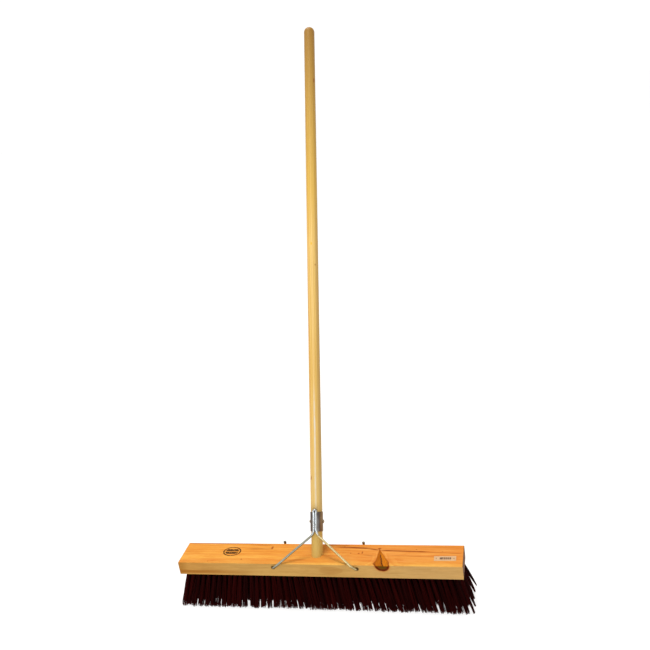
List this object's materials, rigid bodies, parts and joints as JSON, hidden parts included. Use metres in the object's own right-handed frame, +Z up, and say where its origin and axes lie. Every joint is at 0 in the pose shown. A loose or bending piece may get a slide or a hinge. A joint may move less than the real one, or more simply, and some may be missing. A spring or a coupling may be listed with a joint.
{
  "type": "push broom",
  "caption": "Wide wooden push broom with stiff bristle tufts and a slanted round handle braced by one bent steel wire on a ferrule.",
  "frame": {"origin": "on the floor plane under the middle of the head block, where the trimmed bristle tips stand", "axes": "+X along the head block, +Y the way the handle leans, +Z up from the floor; the brace wire is on the -Y side"},
  "size_m": [0.6421, 0.6585, 1.1523],
  "materials": {
    "block_wood": "satin",
    "handle_wood": "satin",
    "sheet_steel": "dull",
    "rivet_steel": "satin",
    "zinc_wire": "bright",
    "label_paper": "matte",
    "bristle": "satin",
    "staple_steel": "satin"
  },
  "bodies": {
    "root": {"head_block": "block_wood", "handle": "handle_wood", "ferrule": "sheet_steel", "ferrule_rivet": "rivet_steel", "brace_wire": "zinc_wire", "paper_label": "label_paper", "tufts_row_1": "bristle", "tufts_row_2": "bristle", "tufts_row_3": "bristle", "tufts_row_4": "bristle", "tufts_row_5": "bristle", "staples_row_1": "staple_steel", "staples_row_2": "staple_steel", "staples_row_3": "staple_steel", "staples_row_4": "staple_steel", "staples_row_5": "staple_steel"}
  },
  "joints": []
}
